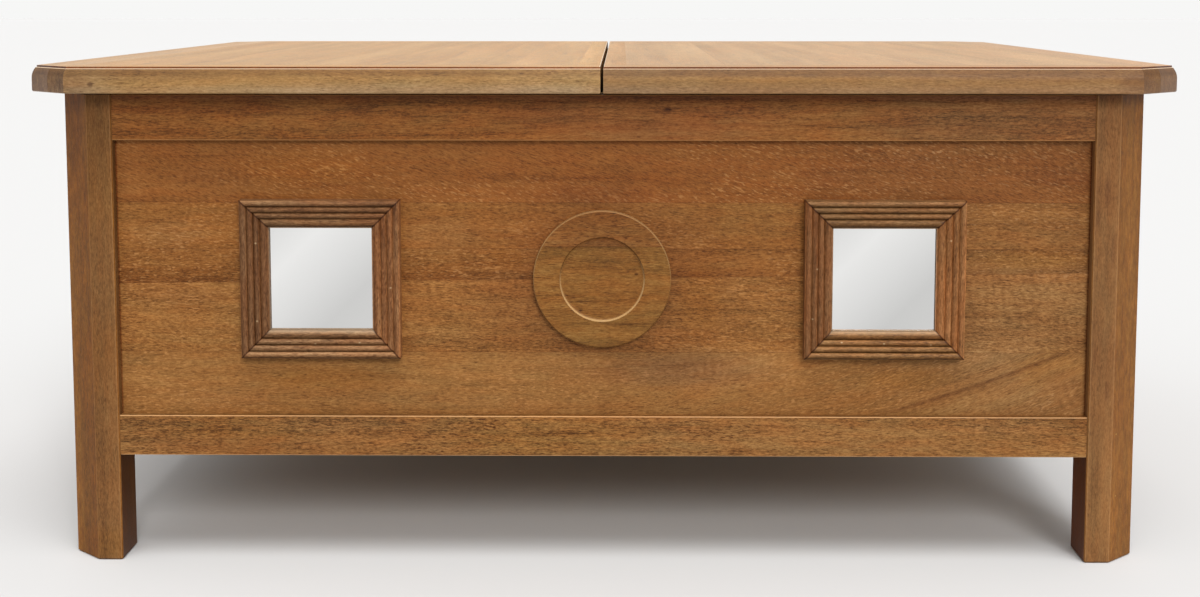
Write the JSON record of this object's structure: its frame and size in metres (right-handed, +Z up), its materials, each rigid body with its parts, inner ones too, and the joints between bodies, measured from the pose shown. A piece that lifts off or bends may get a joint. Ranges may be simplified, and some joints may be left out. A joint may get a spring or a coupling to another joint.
{
  "type": "coffee table",
  "caption": "Wooden chest coffee table on posts with cut corners; its split top slides apart over a storage case, and the front has mirrors in reeded frames beside a turned roundel.",
  "frame": {"origin": "on the floor below the middle of the closed top", "axes": "+X along the front towards the right, -Y out of the front, +Z up"},
  "size_m": [1, 0.9, 0.44],
  "materials": {
    "post_wood": "stained, satin lacquer",
    "rail_wood": "stained, satin lacquer",
    "panel_veneer": "stained, satin lacquer",
    "lid_veneer": "stained, satin lacquer",
    "lid_lipping_wood": "stained, satin lacquer",
    "frame_wood": "stained, satin lacquer",
    "roundel_wood": "stained, satin lacquer",
    "inner_wood": "bare planed wood",
    "mirror_glass": "silvered",
    "runner_steel": "zinc plated"
  },
  "bodies": {
    "case": {"front_left_post": "post_wood", "front_right_post": "post_wood", "back_left_post": "post_wood", "back_right_post": "post_wood", "front_top_rail": "rail_wood", "front_bottom_rail": "rail_wood", "front_panel": "panel_veneer", "front_base_cleat": "inner_wood", "back_top_rail": "rail_wood", "back_bottom_rail": "rail_wood", "back_panel": "panel_veneer", "back_base_cleat": "inner_wood", "left_top_rail": "rail_wood", "left_bottom_rail": "rail_wood", "left_panel": "panel_veneer", "left_base_cleat": "inner_wood", "right_top_rail": "rail_wood", "right_bottom_rail": "rail_wood", "right_panel": "panel_veneer", "right_base_cleat": "inner_wood", "base_board": "inner_wood", "front_runner_batten": "inner_wood", "back_runner_batten": "inner_wood", "left_mirror": "mirror_glass", "left_mirror_top_moulding": "frame_wood", "left_mirror_right_moulding": "frame_wood", "left_mirror_bottom_moulding": "frame_wood", "left_mirror_left_moulding": "frame_wood", "right_mirror": "mirror_glass", "right_mirror_top_moulding": "frame_wood", "right_mirror_right_moulding": "frame_wood", "right_mirror_bottom_moulding": "frame_wood", "right_mirror_left_moulding": "frame_wood", "roundel": "roundel_wood", "left_fixed_runners": "runner_steel", "right_fixed_runners": "runner_steel"},
    "left_lid": {"left_lid_board": "lid_veneer", "left_lid_front_lipping": "lid_lipping_wood", "left_lid_back_lipping": "lid_lipping_wood", "left_lid_end_lipping": "lid_lipping_wood", "left_lid_meeting_lipping": "lid_lipping_wood", "left_lid_front_cleat": "inner_wood", "left_lid_back_cleat": "inner_wood", "left_lid_runners": "runner_steel"},
    "left_middle": {"left_middle_runners": "runner_steel"},
    "right_lid": {"right_lid_board": "lid_veneer", "right_lid_front_lipping": "lid_lipping_wood", "right_lid_back_lipping": "lid_lipping_wood", "right_lid_end_lipping": "lid_lipping_wood", "right_lid_meeting_lipping": "lid_lipping_wood", "right_lid_front_cleat": "inner_wood", "right_lid_back_cleat": "inner_wood", "right_lid_runners": "runner_steel"},
    "right_middle": {"right_middle_runners": "runner_steel"}
  },
  "joints": [
    {"name": "left_lid_slide", "type": "slide", "parent": "case", "child": "left_lid", "axis": [-1, 0, 0], "range_m": [0, 0.215]},
    {"name": "left_middle_slide", "type": "slide", "parent": "case", "child": "left_middle", "axis": [-1, 0, 0], "range_m": [0, 0.1075]},
    {"name": "right_lid_slide", "type": "slide", "parent": "case", "child": "right_lid", "axis": [1, 0, 0], "range_m": [0, 0.215]},
    {"name": "right_middle_slide", "type": "slide", "parent": "case", "child": "right_middle", "axis": [1, 0, 0], "range_m": [0, 0.1075]}
  ],
  "couplings": [
    {"joint": "left_middle_slide", "follows": "left_lid_slide", "ratio": 0.5},
    {"joint": "right_middle_slide", "follows": "right_lid_slide", "ratio": 0.5}
  ]
}
